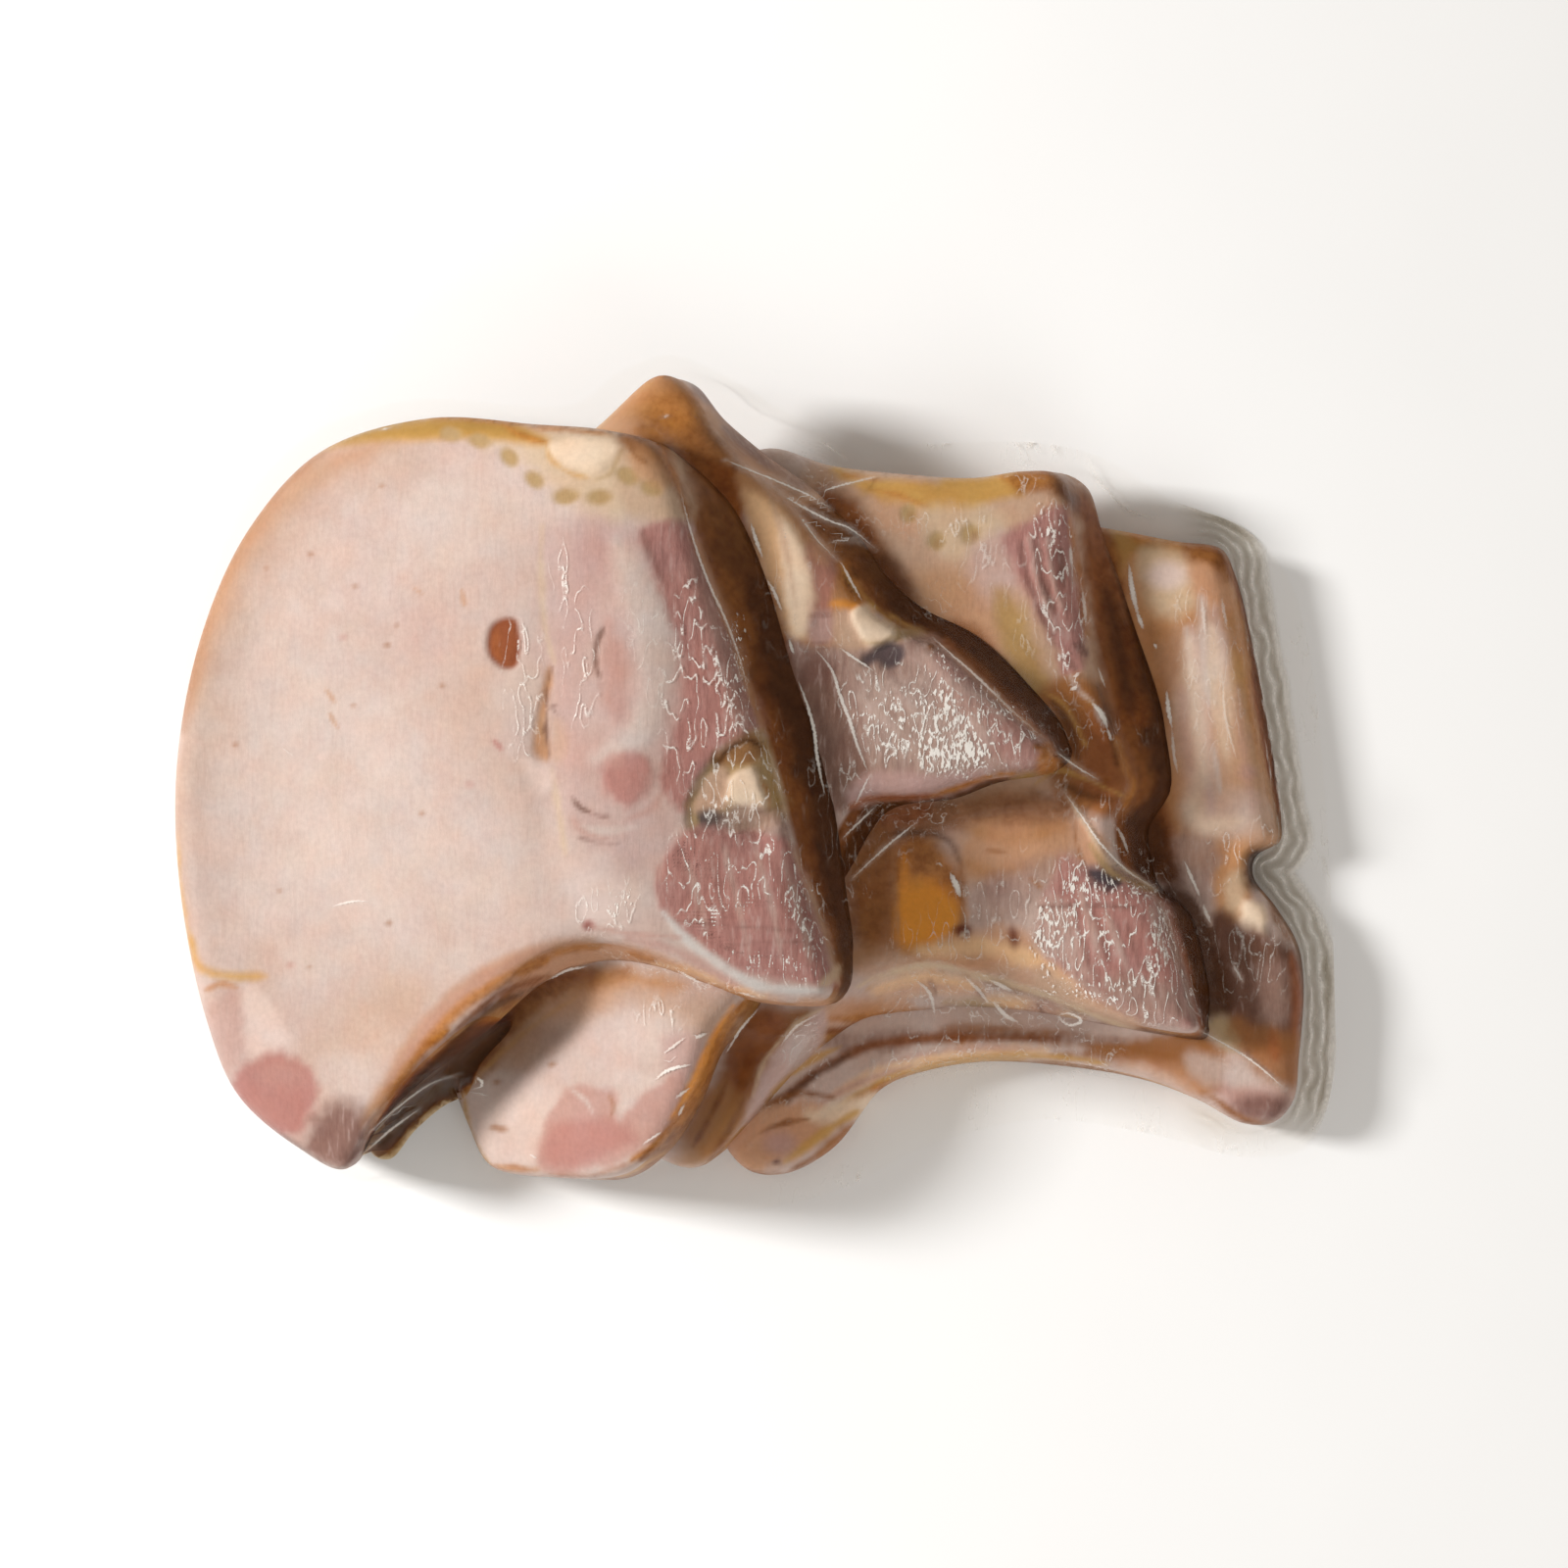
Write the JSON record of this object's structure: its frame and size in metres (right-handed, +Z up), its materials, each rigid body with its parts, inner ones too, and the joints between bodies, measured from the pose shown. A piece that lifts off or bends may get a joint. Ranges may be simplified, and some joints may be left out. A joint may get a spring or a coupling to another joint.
{
  "type": "pack of smoked pork chops",
  "caption": "Smoked bone-in pork chops fanned out one on another and sealed tightly in clear vacuum film, lying flat.",
  "frame": {"origin": "middle of the pack's footprint, on the surface it lies on", "axes": "+X along the fan of chops, from the top chop to the lowest; +Y to the fat edges of the chops; +Z up"},
  "size_m": [0.235, 0.1712, 0.0509],
  "materials": {
    "clear_film": "glossy clear film, creased and clinging",
    "pork": "moist cured meat, pale pink with cream fat",
    "meat_juice": "amber to brown juice held in the gaps"
  },
  "bodies": {
    "root": {"sealed_pack": "clear_film"}
  },
  "joints": []
}
